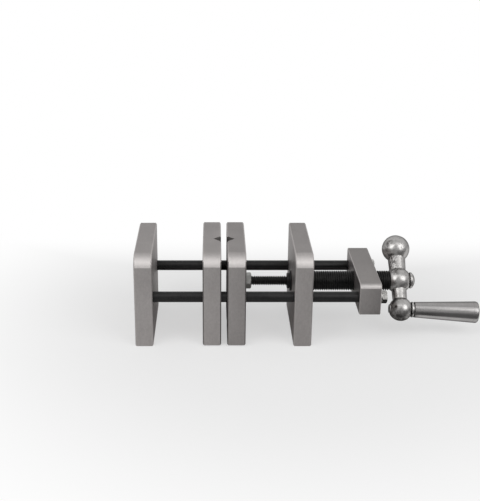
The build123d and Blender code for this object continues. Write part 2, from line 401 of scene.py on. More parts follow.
plate_corner = 10.0 * mm
plate_bevel = 1.0 * mm
edge_ease = 0.14
rod_bore_radius = 4.8
journal_bore_radius = 6.05
foot_hole_radius = 2.5
foot_hole_deep = 20.0
foot_hole_mouth = 0.6
foot_hole_tip = 1.4
foot_hole_y = 25 * mm
joints = {joint["name"]: joint for joint in frame["joints"]}
axis_z = joints["crank_turn"]["pos_m"][2]
rod_places = []
for rod_node in ("front_guide_rod", "rear_guide_rod"):
    rod_low, rod_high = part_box(rod_node)
    rod_places.append((rod_low[1] + rod_high[1]) / 2)

for plate_node in ("left_end_plate", "right_end_plate"):
    plate_low, plate_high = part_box(plate_node)
    plate_thick = (plate_high[0] - plate_low[0]) / mm
    plate_middle = (plate_low[0] + plate_high[0]) / 2
    end_plate = slab(plate_node, plate_corner, plate_bevel, plate_finishes[plate_node])
    tools = [moved(drill(plate_thick, rod_bore_radius), plate_low[0], y, axis_z) for y in rod_places]
    if plate_node == "right_end_plate":
        tools.append(moved(drill(plate_thick, journal_bore_radius), plate_low[0], 0, axis_z))
    for side in (-1, 1):
        foot_hole = turned([
            (-cutter_past, 0), (-cutter_past, foot_hole_radius + foot_hole_mouth + cutter_past),
            (foot_hole_mouth, foot_hole_radius), (foot_hole_deep, foot_hole_radius),
            (foot_hole_deep + foot_hole_tip, 0),
        ], sides=48)
        foot_hole.transform(Matrix.Rotation(math.radians(-90), 4, "Y"))
        tools.append(moved(foot_hole, plate_middle, side * foot_hole_y, 0))
    boolean(end_plate, tools)
    ease_edges(end_plate, edge_ease)
    settle(end_plate, "base", "ground_steel", plate_node)


# The guide rods are smooth steel rods with a black oxide film. They slide in the end plates
# and the right jaw, are pressed into the left jaw, and end in a thinner threaded stud that
# goes through the yoke block.
def thread_tree():
    """Geometry Nodes for a V thread about the X axis, closed at both ends, with bevelled ends."""
    group = bpy.data.node_groups.new("thread", "GeometryNodeTree")
    group.is_modifier = True
    for name in ("Length", "Crest Radius", "Depth", "Pitch", "Hand"):
        group.interface.new_socket(name, in_out="INPUT", socket_type="NodeSocketFloat")
    group.interface.new_socket("Sides", in_out="INPUT", socket_type="NodeSocketInt")
    group.interface.new_socket("Finish", in_out="INPUT", socket_type="NodeSocketMaterial")
    group.interface.new_socket("Geometry", in_out="OUTPUT", socket_type="NodeSocketGeometry")
    entry = group.nodes.new("NodeGroupInput")
    given = {socket.name: Wire(group, socket) for socket in entry.outputs if socket.name}
    length, pitch, sides = given["Length"], given["Pitch"], given["Sides"]
    root = given["Crest Radius"] - given["Depth"]
    tree = Wire(group)

    # Each turn has four lines of points: the root's two edges, then the crest's two edges
    lines_a_turn = 4
    spare_turns = 4
    turns = tree.maths("CEIL", length / pitch) + spare_turns
    lines = turns * lines_a_turn + 1
    columns = sides + 1
    grid = tree.add("GeometryNodeMeshGrid", {"Vertices X": lines, "Vertices Y": columns})
    index = tree.add("GeometryNodeInputIndex", {})
    line = tree.maths("FLOOR", (index + 0.5) / columns)
    column = index - line * columns
    turn = tree.maths("FLOOR", (line + 0.5) / lines_a_turn)
    step = line - turn * lines_a_turn
    on_crest = step > 1.5
    root_share, crest_share, flank_share = 0.2, 0.25, 0.275
    crest_along = step * crest_share + (root_share + flank_share - 2 * crest_share)
    along = step * root_share * (1 - on_crest) + crest_along * on_crest
    share = column / sides
    x = (turn + along + given["Hand"] * share - spare_turns / 2) * pitch
    x = x.most(0.0).least(length)
    radius = (root + on_crest * given["Depth"]).least(root + x).least(root + length - x)
    angle = share * (2 * math.pi)
    y = radius * tree.maths("COSINE", angle)
    z = radius * tree.maths("SINE", angle)
    place = tree.add("ShaderNodeCombineXYZ", {"X": x, "Y": y, "Z": z})
    body = tree.add("GeometryNodeSetPosition", {"Geometry": grid, "Position": place})

    # A flat disc closes each end
    cap = tree.add("GeometryNodeMeshCircle", {"Vertices": sides, "Radius": root}, fill_type="NGON")
    quarter = math.radians(90)
    near_cap = tree.add("GeometryNodeTransform", {"Geometry": cap, "Rotation": (0, -quarter, 0)})
    far_cap = tree.add("GeometryNodeTransform", {
        "Geometry": cap, "Rotation": (0, quarter, 0),
        "Translation": tree.add("ShaderNodeCombineXYZ", {"X": length}),
    })
    join = group.nodes.new("GeometryNodeJoinGeometry")
    for part in (body, near_cap, far_cap):
        group.links.new(part.socket, join.inputs[0])
    whole = Wire(group, join.outputs[0])
    whole = tree.add("GeometryNodeMergeByDistance", {"Geometry": whole, "Distance": 2e-6})
    whole = tree.add("GeometryNodeRealizeInstances", {"Geometry": whole})
    whole = tree.add("GeometryNodeSetMaterial", {"Geometry": whole, "Material": given["Finish"]})
    exit_node = group.nodes.new("NodeGroupOutput")
    group.links.new(whole.socket, exit_node.inputs[0])
    return group


thread_nodes = thread_tree()

# A thread's depth from crest to root, as a share of its pitch
thread_depth_share = 0.4763


def thread(finish, length, radius, pitch, hand=1, sides=64):
    """Mesh of a thread from x = 0 to its length. Sizes in mm, hand -1 for a left-hand one."""
    piece = new_piece("thread", bpy.data.meshes.new("thread"))
    step = piece.modifiers.new("thread", "NODES")
    step.node_group = thread_nodes
    values = {
        "Length": length * mm, "Crest Radius": radius * mm, "Pitch": pitch * mm,
        "Depth": thread_depth_share * pitch * mm, "Hand": float(hand), "Sides": sides, "Finish": finish,
    }
    for socket in thread_nodes.interface.items_tree:
        if socket.in_out == "INPUT":
            step[socket.identifier] = values[socket.name]
    mesh = plain_mesh(piece)
    bpy.data.objects.remove(piece)
    tidy_normals(mesh)
    return mesh


def joined(name, finish, *meshes):
    """One piece made of several closed meshes."""
    work = bmesh.new()
    for mesh in meshes:
        work.from_mesh(mesh)
    whole = bpy.data.meshes.new(name)
    work.to_mesh(whole)
    work.free()
    return new_piece(name, whole, finish)


def black_finish(name, base, shine, roughness, grain):
    """Black oxide on steel: a thin dark film that lets a little metal gloss through."""
    finish, tree = new_finish(name)
    fine = tree.noise(grain, 3.0, 0.6)
    patches = tree.noise((9, 5, 5), 3.0)
    tone = fine * 0.5 + patches * 0.5
    colour = tone.spread(0.35, 0.68).mix(base, shine)
    normal = tree.bump(fine, 0.012, 0.4)
    surface(tree, colour, 0.55, roughness + fine * 0.12 + patches * 0.1, normal)
    return finish


black_rod = black_finish("black_rod", (0.010, 0.010, 0.0105), (0.027, 0.026, 0.026), 0.27, (0.4, 6, 6))
black_thread = black_finish("black_thread", (0.009, 0.009, 0.0095), (0.028, 0.027, 0.026), 0.3, (0.5, 1, 1))

rod_radius = 4.75
rod_tip_bevel = 0.8
stud_radius = 3.0
stud_pitch = 1.0
block_low, block_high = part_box("yoke_block")
for rod_node, rod_y in zip(("front_guide_rod", "rear_guide_rod"), rod_places):
    rod_low, rod_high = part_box(rod_node)
    smooth_long = (block_low[0] - rod_low[0]) / mm
    rod_mesh = turned([
        (0, 0), (0, rod_radius - rod_tip_bevel, 0.2), (rod_tip_bevel, rod_radius, 0.3),
        (smooth_long, rod_radius, 0.1), (smooth_long, 0),
    ])
    moved(rod_mesh, rod_low[0], rod_y, axis_z)
    stud_long = (rod_high[0] - block_low[0]) / mm
    stud_mesh = moved(thread(black_rod, stud_long, stud_radius, stud_pitch), block_low[0], rod_y, axis_z)
    guide_rod = joined(f"{rod_node}_finished", black_rod, rod_mesh, stud_mesh)
    settle(guide_rod, "left_jaw_yoke", "black_rod", rod_node)


# The jaws are two more slabs of the same bar, clear of the bench. Upright V grooves face
# each other where they meet. The right jaw has a blind tapped hole for the push rod.
jaw_bore_radii = {"left_jaw": 4.77, "right_jaw": 4.8}
jaw_bodies = {"left_jaw": "left_jaw_yoke", "right_jaw": "right_jaw_slider"}
vee_deep = 7.0 * mm
push_rod_hole_radius = 4.37
push_rod_hole_floor = 8.5 * mm


def prism(near, far):
    """Closed mesh between two outlines with the same number of corners, in metres."""
    count = len(near)
    faces = [tuple(range(count)), tuple(range(count, 2 * count))]
    for corner in range(count):
        onward = (corner + 1) % count
        faces.append((corner, onward, onward + count, corner + count))
    mesh = bpy.data.meshes.new("prism")
    mesh.from_pydata(near + far, [], faces)
    tidy_normals(mesh)
    return mesh


def wedge(face_x, into, low_z, high_z):
    """Cutter for a 90 degree groove from the face at face_x, upright between two heights."""
    past = cutter_past * mm
    apex = face_x + into * vee_deep
    mouth = face_x - into * past
    half = vee_deep + past
    corners = [(apex, 0), (mouth, half), (mouth, -half)]
    low_corners = [(*corner, low_z - past) for corner in corners]
    high_corners = [(*corner, high_z + past) for corner in corners]
    return prism(low_corners, high_corners)


for jaw_node, jaw_body in jaw_bodies.items():
    jaw_low, jaw_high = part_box(jaw_node)
    jaw_thick = (jaw_high[0] - jaw_low[0]) / mm
    jaw = slab(jaw_node, plate_corner, plate_bevel, plate_finishes[jaw_node])
    jaw_bore_radius = jaw_bore_radii[jaw_node]
    tools = [moved(drill(jaw_thick, jaw_bore_radius), jaw_low[0], y, axis_z) for y in rod_places]
    if jaw_node == "left_jaw":
        tools.append(wedge(jaw_high[0], -1, jaw_low[2], jaw_high[2]))
    else:
        tools.append(wedge(jaw_low[0], 1, jaw_low[2], jaw_high[2]))
        hole_long = (jaw_high[0] - jaw_low[0] - push_rod_hole_floor) / mm
        hole_end = hole_long + cutter_past
        hole = turned([
            (0, 0), (0, push_rod_hole_radius), (hole_long, push_rod_hole_radius),
            (hole_end, push_rod_hole_radius + cutter_past), (hole_end, 0),
        ], sides=64)
        tools.append(moved(hole, jaw_low[0] + push_rod_hole_floor, 0, axis_z))
    boolean(jaw, tools)
    ease_edges(jaw, edge_ease)

    # Only the groove's two faces slope at 45 degrees; they take the groove finish, darkened as painted
    # shade
    for face in jaw.data.polygons:
        if abs(face.normal.x) > 0.6 and abs(face.normal.y) > 0.6:
            face.material_index = groove_index
    settle(jaw, jaw_body, "ground_steel", jaw_node)


# The yoke block is a shorter piece of thicker steel bar. It is tapped for the lead screw, and
# both guide rods are bolted through it, so it carries the left jaw with it.
block_corner = 4.0 * mm
block_bevel = 0.6 * mm
block_screw_radius = 9.05
block_stud_radius = 3.02
stud_countersink = 0.2
block_thick = (block_high[0] - block_low[0]) / mm
# The block's faces are darker than the plates': partly its own bar, partly painted shade, as it stands
# further right
block_side = ground_finish("block_side", (0.375, 0.355, 0.348), (0.465, 0.44, 0.432), 0.36)
block_end = ground_finish("block_end", (0.30, 0.285, 0.279), (0.37, 0.352, 0.345), 0.5)
# Painted highlight on the block's rounded corner: dark at its top, light lower down
round_dark, round_light = (0.28, 0.267, 0.262), (0.70, 0.672, 0.661)
block_round_painted_highlight = ground_finish("block_round_painted_highlight", round_dark, round_light, 0.55, heights=(59.5, 57.2))
block_finishes = (block_side, cut_bevel_and_painted_highlight, block_end, block_round_painted_highlight)
yoke_block = slab("yoke_block", block_corner, block_bevel, block_finishes)
tools = []
for rod_y in rod_places:
    stud_hole = drill(block_thick, block_stud_radius, stud_countersink)
    tools.append(moved(stud_hole, block_low[0], rod_y, axis_z))
tools.append(moved(drill(block_thick, block_screw_radius), block_low[0], 0, axis_z))
boolean(yoke_block, tools)
ease_edges(yoke_block, edge_ease)
settle(yoke_block, "left_jaw_yoke", "ground_steel", "yoke_block")


# A bright zinc-plated washer and hexagon nut hold each guide rod's stud against the yoke
# block. The push rod's lock nut is a larger, duller one, run up against the right jaw.
def plated_finish(name, dark, light, roughness):
    """Zinc plate: a soft metal gloss with faint cloudy patches."""
    finish, tree = new_finish(name)
    patches = tree.noise((2.5, 2.5, 2.5), 3.0, 0.6)
    fine = tree.noise((0.3, 0.3, 0.3), 1.0)
    tone = patches * 0.7 + fine * 0.3
    colour = tone.spread(0.3, 0.7).mix(dark, light)
    surface(tree, colour, 1.0, roughness + patches * 0.12, tree.bump(tone, 0.02, 0.3))
    return finish


bright_zinc = plated_finish("bright_zinc", (0.34, 0.334, 0.325), (0.66, 0.65, 0.63), 0.16)
dull_zinc = plated_finish("dull_zinc", (0.24, 0.24, 0.232), (0.36, 0.355, 0.345), 0.28)


def hexagon_nut(across, high, bore_radius, x, y):
    """Nut with two flats level, both ends chamfered at 30 degrees, and a plain bore. Sizes in mm."""
    chamfer = math.radians(30)
    corner_radius = across / 2 / math.cos(math.radians(30))
    corners = []
    for step in range(6):
        angle = math.radians(60 * step)
        corners.append((corner_radius * mm * math.cos(angle), corner_radius * mm * math.sin(angle)))
    near, far = ([(end, *corner) for corner in corners] for end in (0, high * mm))
    nut = new_piece("nut", prism(near, far))
    flat_radius = across / 2 * 0.95
    past_corners = corner_radius + 1
    run = (past_corners - flat_radius) * math.tan(chamfer)
    dome = turned([
        (0, 0), (0, flat_radius), (run, past_corners),
        (high - run, past_corners), (high, flat_radius), (high, 0),
    ])
    boolean(nut, [dome], "INTERSECT")
    boolean(nut, [drill(high, bore_radius, countersink=0.5)])
    nut_mesh = nut.data
    bpy.data.objects.remove(nut)
    return moved(nut_mesh, x, y, axis_z)


washers_low, washers_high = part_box("rod_washers")
nuts_low, nuts_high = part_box("rod_nuts")
washer_thick = (washers_high[0] - washers_low[0]) / mm
washer_radius = 6.0
nut_across = 10.0
nut_high = (nuts_high[0] - nuts_low[0]) / mm
washer_meshes = []
nut_meshes = []
for rod_y in rod_places:
    washer = turned([
        (0, block_stud_radius, 0.1), (washer_thick, block_stud_radius, 0.1),
        (washer_thick, washer_radius, 0.35), (0, washer_radius, 0.15),
    ], closed=True)
    washer_meshes.append(moved(washer, washers_low[0], rod_y, axis_z))
    nut_meshes.append(hexagon_nut(nut_across, nut_high, block_stud_radius, nuts_low[0], rod_y))
rod_washers = joined("rod_washers_finished", bright_zinc, *washer_meshes)
settle(rod_washers, "left_jaw_yoke", "bright_zinc", "rod_washers")
rod_nuts = joined("rod_nuts_finished", bright_zinc, *nut_meshes)
settle(rod_nuts, "left_jaw_yoke", "bright_zinc", "rod_nuts")

lock_low, lock_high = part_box("push_rod_lock_nut")
lock_nut_across = 13.0
lock_nut_high = (lock_high[0] - lock_low[0]) / mm
lock_mesh = hexagon_nut(lock_nut_across, lock_nut_high, push_rod_hole_radius, lock_low[0], 0)
lock_nut = joined("push_rod_lock_nut_finished", dull_zinc, lock_mesh)
settle(lock_nut, "right_jaw_slider", "plain_nut", "push_rod_lock_nut")


# The push rod is a black steel rod with a left-hand thread. It is screwed into the right jaw,
# and its other end runs inside the lead screw, whose outer thread has the same pitch the
# other way round.
screw_pitch = 2.0
push_rod_radius = 4.35
push_low, push_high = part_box("push_rod")
push_mesh = thread(black_thread, (push_high[0] - push_low[0]) / mm, push_rod_radius, screw_pitch, hand=-1)
push_rod = joined("push_rod_finished", black_thread, moved(push_mesh, push_low[0], 0, axis_z))
settle(push_rod, "right_jaw_slider", "black_thread", "push_rod")


# The lead screw is turned from one black steel bar: a hollow journal that turns in the right
# end plate, a long right-hand thread, and a stub for the crank. A washer and a collar hold it
# endways.
screw_radius = 9.0
journal_radius = 6.0
screw_bore_radius = 4.4
stub_radius = 5.0
face_gap = 0.3
screw_past_block = 14.6
bore_past_push_rod = 33.8
overlap = 1
inner_flare = 0.3
screw_low, screw_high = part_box("lead_screw")
right_plate_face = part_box("right_end_plate")[1][0]
journal_x = screw_low[0] / mm
shoulder_x = right_plate_face / mm + face_gap
hub_left_x = block_high[0] / mm + screw_past_block
stub_end_x = screw_high[0] / mm
screw_bore_end = push_high[0] / mm + bore_past_push_rod
screw_mesh = thread(black_thread, hub_left_x - shoulder_x, screw_radius, screw_pitch, sides=80)
bored = new_piece("bored", moved(screw_mesh, shoulder_x * mm, 0, axis_z))
bore_mesh = turned([
    (journal_x, 0), (journal_x, screw_bore_radius),
    (screw_bore_end, screw_bore_radius), (screw_bore_end, 0),
], sides=64)
boolean(bored, [moved(bore_mesh, 0, 0, axis_z)])
screw_mesh = bored.data
bpy.data.objects.remove(bored)
journal_end = shoulder_x + overlap
journal_mesh = turned([
    (journal_x, screw_bore_radius, 0.3), (shoulder_x, screw_bore_radius),
    (journal_end, screw_bore_radius + inner_flare), (journal_end, journal_radius),
    (journal_x, journal_radius, 0.3),
], closed=True)
moved(journal_mesh, 0, 0, axis_z)
stub_start = hub_left_x - overlap
stub_mesh = turned([
    (stub_start, 0), (stub_start, stub_radius), (stub_end_x, stub_radius, 0.3), (stub_end_x, 0),
])
moved(stub_mesh, 0, 0, axis_z)
lead_screw = joined("lead_screw_finished", black_thread, screw_mesh, journal_mesh, stub_mesh)
settle(lead_screw, "screw_and_crank", "black_thread", "lead_screw")

# Each ring's outer radius, and the rounding of its left and right rims
ring_sizes = {"thrust_washer": (9.5, 0.25, 0.25), "retaining_collar": (7.15, 0.5, 0.2)}
for ring_node, (outer_radius, left_rounding, right_rounding) in ring_sizes.items():
    ring_low, ring_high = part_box(ring_node)
    ring_thick = (ring_high[0] - ring_low[0]) / mm
    ring_mesh = turned([
        (0, journal_radius, 0.1), (ring_thick, journal_radius, 0.1),
        (ring_thick, outer_radius, right_rounding), (0, outer_radius, left_rounding),
    ], closed=True)
    ring = joined(f"{ring_node}_finished", black_rod, moved(ring_mesh, ring_low[0], 0, axis_z))
    settle(ring, "screw_and_crank", "black_thread", ring_node)


# The crank is one steel casting, tumbled and polished: three balls on a tapered arm. The
# middle ball is faced on both sides for the lead screw, the small one is faced for the grip.
def turned_finish(name, dark, light, roughness, ring_wide):
    """Turned steel: fine rings about the X axis from the tool, faint in colour and height."""
    finish, tree = new_finish(name)
    rings = tree.noise((ring_wide, 40, 40), 2.0, 0.6)
    clouds = tree.noise((9, 6, 6), 2.0)
    tone = rings * 0.6 + clouds * 0.4
    colour = tone.spread(0.3, 0.7).mix(dark, light)
    normal = tree.bump(rings, 0.01, 0.5)
    surface(tree, colour, 1.0, roughness + rings * 0.1, normal, rim_shine=0.15)
    return finish


turned_steel = turned_finish("turned_steel", (0.42, 0.411, 0.402), (0.58, 0.57, 0.56), 0.14, 0.18)

big_ball_radius = 12.7
hub_radius = 11.75
small_ball_radius = 10.75
big_ball_reach = 31.8
arm_radius_big_end = 8.3
arm_radius_small_end = 6.2
cast_blend = 0.8
crank_centre = Vector((joints["grip_spin"]["pos_m"][0], 0, axis_z))
small_ball_centre = Vector(joints["grip_spin"]["pos_m"])
small_ball_reach = (small_ball_centre - crank_centre).length / mm
arm_axis = (crank_centre - small_ball_centre).normalized()
big_ball_centre = crank_centre + arm_axis * big_ball_reach * mm


def cast_finish():
    """Polished casting: soft waves, small pits, dark patches and spots, one dent, raw skin on the upper
    arm, and painted shade low on the small ball.
    """
    finish, tree = new_finish("polished_casting")
    along = tree.of_place("DOT_PRODUCT", arm_axis) - crank_centre.dot(arm_axis)
    across = tree.coordinate("X") - crank_centre.x
    waves = tree.noise((4.5, 4.5, 4.5), 2.0, 0.5)
    lumps = tree.noise((1.7, 1.7, 1.7), 3.0, 0.6)
    patches = tree.noise((3.4, 3.4, 4.4), 4.0, 0.65)
    crackle = tree.noise((1.5, 1.5, 2.0), 3.0, 0.65)
    pits = tree.noise((1.8, 1.8, 1.8), 1.0).spread(0.68, 0.76)

    def mark(ball_centre, offset, reach):
        """A mark on a ball: 1 in its middle, 0 past its reach. Sizes in mm, from the ball's centre."""
        middle = ball_centre + Vector(offset) * mm
        return tree.of_place("DISTANCE", middle).spread(reach * mm, reach * mm / 3)

    big_dark_spot = mark(big_ball_centre, (-7.4, -5.8, 8.2), 4.8)
    small_dark_spot = mark(small_ball_centre, (-4.1, -9.8, -0.8), 5.0)
    dent = mark(small_ball_centre, (-5.8, -7.0, 5.6), 1.6)
    dark_spots = big_dark_spot.most(small_dark_spot) * patches.spread(0.38, 0.50)

    # Painted shade: the small ball is darker in mottled spots low down, and a little on its left
    painted_low_shade = (across.spread(2 * mm, -6 * mm) * 0.35).most(tree.coordinate("Z").spread(28 * mm, 20 * mm))
    painted_low_shade = painted_low_shade * along.spread(-18 * mm, -23 * mm)
    painted_low_shade = painted_low_shade * (patches.spread(0.34, 0.58) * 0.5 + crackle.spread(0.40, 0.60) * 0.5)
    # Dark patches and spots, with the painted shade low on the small ball
    dark_patches_and_painted_shade = (patches.spread(0.50, 0.74) * 0.6 + dark_spots * 0.9 + painted_low_shade * 1.4).least(1.0)

    # The skin is on the left side, from the hub up to the big ball
    upper_arm = along.spread(1 * mm, 4 * mm) * along.spread(23 * mm, 21 * mm)
    upper_arm = upper_arm * across.spread(1 * mm, -3 * mm)
    skin = crackle.spread(0.44, 0.56) * upper_arm
    darkness = (dark_patches_and_painted_shade * 0.8 + pits * 0.5 + dent + skin * 0.75).least(1.0)
    colour = darkness.mix((0.47, 0.461, 0.452), (0.10, 0.094, 0.092))
    relief = waves * 0.5 + lumps * 0.12 - pits * 0.3 - dent * 0.8 - skin * 0.5 - dark_patches_and_painted_shade * 0.2
    roughness = 0.27 + dark_patches_and_painted_shade * 0.12 + lumps * 0.06 + skin * 0.1
    surface(tree, colour, 1.0, roughness, tree.bump(relief, 0.45, 0.55), rim_shine=0.3)
    return finish


polished_casting = cast_finish()


def blended(first, second):
    """The larger of two radii, with the hollow between them filled as a casting's is."""
    overlap_share = max(cast_blend - abs(first - second), 0) / cast_blend
    return max(first, second) + overlap_share * overlap_share * cast_blend / 4


def casting_outline():
    """Outline along the arm from the small ball to the big one, as (place, radius) in mm."""
    balls = [(-small_ball_reach, small_ball_radius), (0, hub_radius), (big_ball_reach, big_ball_radius)]
    places = set()
    steps = 44
    for centre, radius in balls:
        places.update(centre - radius * math.cos(math.pi * step / steps) for step in range(steps + 1))
    start, end = min(places), max(places)
    slope = (arm_radius_big_end - arm_radius_small_end) / (big_ball_reach + small_ball_reach)
    outline = []
    for place in sorted(places):
        radii = [math.sqrt(max(radius ** 2 - (place - centre) ** 2, 0)) for centre, radius in balls]
        if -small_ball_reach < place < big_ball_reach:
            radii.append(arm_radius_small_end + slope * (place + small_ball_reach))
        radii.sort()
        outline.append((place, 0 if place in (start, end) else blended(radii[-1], radii[-2])))
    return outline


crank = new_piece("crank_arm_finished", turned(casting_outline(), sides=128), polished_casting)
along_arm = Vector((1, 0, 0)).rotation_difference(arm_axis).to_matrix().to_4x4()
crank.data.transform(Matrix.Translation(crank_centre) @ along_arm)

# Tumbling leaves the casting a little uneven
wave_size = 5.5 * mm
wave_depth = 0.12 * mm
outward = [vertex.normal.copy() for vertex in crank.data.vertices]
for vertex, normal in zip(crank.data.vertices, outward):
    vertex.co += normal * noise.fractal(vertex.co / wave_size, 1.0, 2.0, 3) * wave_depth

hub_left_flat = 8.0
hub_right_flat = 10.2
hub_face_radius = 10.5
hub_cutter_end = 30
grip_droop = math.atan2(-joints["grip_spin"]["axis"][2], joints["grip_spin"]["axis"][0])
spindle_place = Matrix.Translation(small_ball_centre) @ Matrix.Rotation(grip_droop, 4, "Y")


def on_spindle(mesh):
    """The mesh, made along X, in place on the grip's spindle."""
    mesh.transform(spindle_place)
    return mesh


spindle_radius = 4.0
fit_gap = 0.02
spindle_bore_radius = spindle_radius + fit_gap
ball_face = 8.9
ball_cutter_end = 20
spindle_seat_radius = 4.75
spindle_seat_deep = 0.9
seat_floor = spindle_seat_deep - small_ball_radius
left_facing = turned([
    (-hub_cutter_end, 0), (-hub_cutter_end, hub_face_radius),
    (-hub_left_flat, hub_face_radius, 0.3), (-hub_left_flat, 0),
])
right_facing = turned([
    (hub_right_flat, 0), (hub_right_flat, hub_face_radius, 0.3),
    (hub_cutter_end, hub_face_radius), (hub_cutter_end, 0),
])
spindle_hole = turned([
    (-ball_cutter_end, 0), (-ball_cutter_end, spindle_seat_radius), (seat_floor, spindle_seat_radius, 0.2),
    (seat_floor, spindle_bore_radius), (ball_cutter_end, spindle_bore_radius), (ball_cutter_end, 0),
], sides=64)
small_facing = turned([
    (ball_face, 0), (ball_face, small_ball_radius),
    (ball_cutter_end, small_ball_radius), (ball_cutter_end, 0),
])
boolean(crank, [
    moved(left_facing, *crank_centre), moved(right_facing, *crank_centre),
    on_spindle(spindle_hole), on_spindle(small_facing),
])
cast_edge_ease = 0.25
ease_edges(crank, cast_edge_ease, steps=3, angle=40)
settle(crank, "screw_and_crank", "polished_casting", "crank_arm", smooth_below=40)


# A thick washer and a low domed screw with a hexagon socket, both turned from bright steel,
# pull the crank on to the lead screw's stub.
washer_low, washer_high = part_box("crank_washer")
screw_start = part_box("crank_screw")[0][0] / mm
crank_washer_radius = 7.4
crank_screw_radius = 3.0
head_radius = 7.0
head_rim = 0.4
head_tall = 3.1
socket_across = 4.0
socket_deep = 1.6
crank_washer_thick = (washer_high[0] - washer_low[0]) / mm
head_start = washer_high[0] / mm
head_end = head_start + head_tall
washer_hole = crank_screw_radius + fit_gap
washer_mesh = turned([
    (0, washer_hole, 0.1), (crank_washer_thick, washer_hole, 0.1),
    (crank_washer_thick, crank_washer_radius, 0.45), (0, crank_washer_radius, 0.3),
], closed=True)
crank_washer = joined("crank_washer_finished", turned_steel, moved(washer_mesh, washer_low[0], 0, axis_z))
settle(crank_washer, "screw_and_crank", "turned_steel", "crank_washer")

dome_high = head_tall - head_rim
dome_radius = (head_radius ** 2 + dome_high ** 2) / (2 * dome_high)
dome_steps = 16
screw_outline = [
    (screw_start, 0), (screw_start, crank_screw_radius, 0.4),
    (head_start, crank_screw_radius), (head_start, head_radius, 0.1),
]
for step in range(dome_steps + 1):
    out = head_radius * (1 - step / dome_steps)
    screw_outline.append((head_end - dome_radius + math.sqrt(dome_radius ** 2 - out ** 2), out))
crank_screw = new_piece("crank_screw_finished", moved(turned(screw_outline), 0, 0, axis_z), turned_steel)
socket_corner = socket_across / 2 / math.cos(math.radians(30))
socket_floor = head_end - socket_deep
socket = turned([
    (socket_floor, 0), (socket_floor, socket_corner), (head_end + 1, socket_corner), (head_end + 1, 0),
], sides=6)
boolean(crank_screw, [moved(socket, 0, 0, axis_z)])
settle(crank_screw, "screw_and_crank", "turned_steel", "crank_screw")


# The grip is a tapered steel sleeve that turns on a long pin through the small ball. A ring
# keeps it off the ball, and the pin's slotted head sits in a recess in its free end.
ring_start = 9.45
ring_thick = 1.8
ring_radius = 7.05
grip_start = 11.65
grip_end = 69.95
grip_neck_end = 12.25
grip_neck_radius = 5.5
grip_small_radius = 7.05
grip_large_radius = 9.9
grip_end_round = 2.4
grip_gap = 0.05
head_recess_radius = 6.55
head_recess_from = 64.65
pin_start = 0.15 - small_ball_radius
pin_head_start = 64.95
pin_head_end = 68.45
pin_head_radius = 6.25
slot_half = 0.8 * mm
slot_reach = 9 * mm
slot_deep = 1.2

ring_end = ring_start + ring_thick
ring_mesh = on_spindle(turned([
    (ring_start, spindle_bore_radius, 0.1), (ring_end, spindle_bore_radius, 0.1),
    (ring_end, ring_radius, 0.5), (ring_start, ring_radius, 0.5),
], closed=True))
spindle_ring = joined("spindle_ring_finished", turned_steel, ring_mesh)
settle(spindle_ring, "screw_and_crank", "turned_steel", "spindle_ring")

pin_mesh = turned([
    (pin_start, 0), (pin_start, spindle_radius, 0.4), (pin_head_start, spindle_radius),
    (pin_head_start, pin_head_radius, 0.15), (pin_head_end, pin_head_radius, 0.4), (pin_head_end, 0),
])
pin = new_piece("grip_spindle_finished", pin_mesh, turned_steel)
slot_corners = [
    (-slot_half, -slot_reach), (slot_half, -slot_reach), (slot_half, slot_reach), (-slot_half, slot_reach),
]
slot_floor = [((pin_head_end - slot_deep) * mm, *corner) for corner in slot_corners]
slot_mouth = [((pin_head_end + 1) * mm, *corner) for corner in slot_corners]
boolean(pin, [prism(slot_floor, slot_mouth)])
on_spindle(pin.data)
settle(pin, "screw_and_crank", "turned_steel", "grip_spindle")

satin_grip = turned_finish("satin_grip", (0.31, 0.302, 0.298), (0.40, 0.39, 0.386), 0.19, 0.12)
groove_from_round = 2.6
groove_wide = 0.35
groove_deep = 0.12


def grip_radius_at(x):
    """The sleeve's radius at x, on the straight taper from its neck to its free end."""
    share = (x - grip_neck_end) / (grip_end - grip_neck_end)
    return grip_small_radius + (grip_large_radius - grip_small_radius) * share


groove_x = grip_end - grip_end_round - groove_from_round
grip_mesh = on_spindle(turned([
    (grip_start, spindle_radius + grip_gap, 0.1), (head_recess_from, spindle_radius + grip_gap),
    (head_recess_from, head_recess_radius), (grip_end, head_recess_radius, 0.4),
    (grip_end, grip_large_radius, grip_end_round),
    (groove_x + groove_wide, grip_radius_at(groove_x + groove_wide)),
    (groove_x + groove_wide / 2, grip_radius_at(groove_x) - groove_deep),
    (groove_x, grip_radius_at(groove_x)), (grip_neck_end, grip_small_radius, 0.3),
    (grip_neck_end, grip_neck_radius), (grip_start, grip_neck_radius, 0.1),
], sides=128, closed=True, easing=8))
grip = joined("grip_finished", satin_grip, grip_mesh)
settle(grip, "turning_grip", "satin_grip", "grip", smooth_below=25)


# The setting is a pale floor in a white room, with two large soft lamps in front, to the left
# and right, and a weaker one high in front. The floor that metal sees is painted greyer, with
# darker places: painted reflections standing in for the other things than a white floor that the real vise
# stands on.
floor_half = 6.0
floor_corners = [(x * floor_half, y * floor_half, 0) for x, y in ((-1, -1), (1, -1), (1, 1), (-1, 1))]
floor_mesh = bpy.data.meshes.new("floor")
floor_mesh.from_pydata(floor_corners, [], [(0, 1, 2, 3)])


def ray_kinds(tree):
    """Two wires: 1 for a ray from the camera, and 1 for one off metal or through glass."""
    from_camera = tree.add("ShaderNodeLightPath", {}, output="Is Camera Ray")
    off_metal = tree.add("ShaderNodeLightPath", {}, output="Is Glossy Ray")
    through_glass = tree.add("ShaderNodeLightPath", {}, output="Is Transmission Ray")
    return from_camera, (off_metal + through_glass).least(1.0)


floor_paint, tree = new_finish("floor_paint")
behind = tree.coordinate("Y")
beside = tree.coordinate("X")
from_camera, mirrored = ray_kinds(tree)

